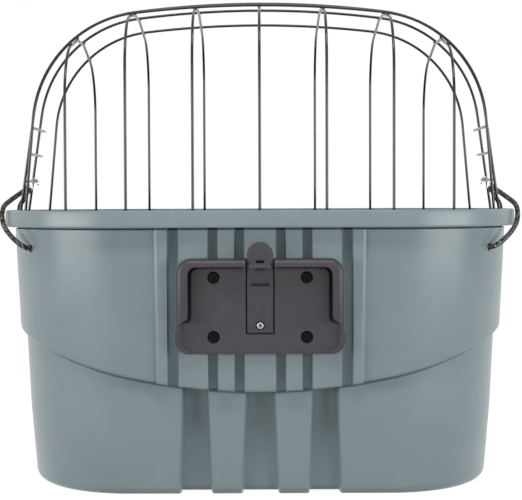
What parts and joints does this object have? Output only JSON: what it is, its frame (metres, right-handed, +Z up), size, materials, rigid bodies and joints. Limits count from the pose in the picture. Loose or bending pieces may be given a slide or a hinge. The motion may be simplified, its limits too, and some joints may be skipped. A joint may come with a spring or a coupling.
{
  "type": "dog bicycle basket",
  "caption": "Moulded handlebar tub for a small dog with a wire dome held by elastic cords and hooks, and a quick-release adapter plate on its back.",
  "frame": {"origin": "middle of the tub's flat underside, on the surface that the basket stands on", "axes": "+Z up, +X along the basket's length, and -Y is the handlebar side with the adapter plate"},
  "size_m": [0.48, 0.2888, 0.4423],
  "materials": {
    "tub_plastic": "satin grey-blue moulded plastic",
    "plate_plastic": "fine-grained dark warm grey plastic",
    "black_wire": "glossy black coated steel wire",
    "braided_elastic": "braided elastic cord, dark grey with lighter flecks",
    "zinc": "bright zinc plated steel",
    "black_screw": "blackened steel"
  },
  "bodies": {
    "basket": {"tub": "tub_plastic", "adapter_plate": "plate_plastic", "tongue_screw": "zinc", "backing_plate": "zinc", "plate_screw_1": "black_screw", "plate_screw_2": "black_screw", "plate_screw_3": "black_screw", "plate_screw_4": "black_screw", "plate_washer_1": "zinc", "plate_washer_2": "zinc", "plate_washer_3": "zinc", "plate_washer_4": "zinc", "plate_nut_1": "zinc", "plate_nut_2": "zinc", "plate_nut_3": "zinc", "plate_nut_4": "zinc", "elastic_cord_left": "braided_elastic", "elastic_cord_right": "braided_elastic", "cord_knot_left_near": "braided_elastic", "cord_knot_left_far": "braided_elastic", "cord_knot_right_near": "braided_elastic", "cord_knot_right_far": "braided_elastic"},
    "dome": {"base_ring": "black_wire", "dome_leg_1": "black_wire", "dome_leg_2": "black_wire", "dome_leg_3": "black_wire", "dome_leg_4": "black_wire", "dome_leg_5": "black_wire", "dome_leg_6": "black_wire", "dome_leg_7": "black_wire", "dome_hoop_1": "black_wire", "dome_hoop_2": "black_wire", "dome_hoop_3": "black_wire", "dome_hoop_4": "black_wire", "side_rail_left_1": "black_wire", "side_rail_left_2": "black_wire", "side_rail_left_3": "black_wire", "side_rail_right_1": "black_wire", "side_rail_right_2": "black_wire", "side_rail_right_3": "black_wire"},
    "hook_left": {"cord_hook_left": "zinc"},
    "hook_right": {"cord_hook_right": "zinc"},
    "tongue": {"release_tongue": "plate_plastic"}
  },
  "joints": [
    {"name": "dome_lift", "type": "slide", "parent": "basket", "child": "dome", "axis": [0, 0, 1], "range_m": [0, 0.05], "deforming": ["elastic_cord_left", "elastic_cord_right"]},
    {"name": "hook_left_release", "type": "slide", "parent": "dome", "child": "hook_left", "axis": [0, 0, 1], "range_m": [0, 0.01], "deforming": ["elastic_cord_left"]},
    {"name": "hook_right_release", "type": "slide", "parent": "dome", "child": "hook_right", "axis": [0, 0, 1], "range_m": [0, 0.01], "deforming": ["elastic_cord_right"]},
    {"name": "release_tongue_press", "type": "hinge", "parent": "basket", "child": "tongue", "pos_m": [0, -0.1355, 0.1513], "axis": [-1, 0, 0], "range_deg": [0, 3], "stiffness_Nm_per_rad": 8}
  ]
}
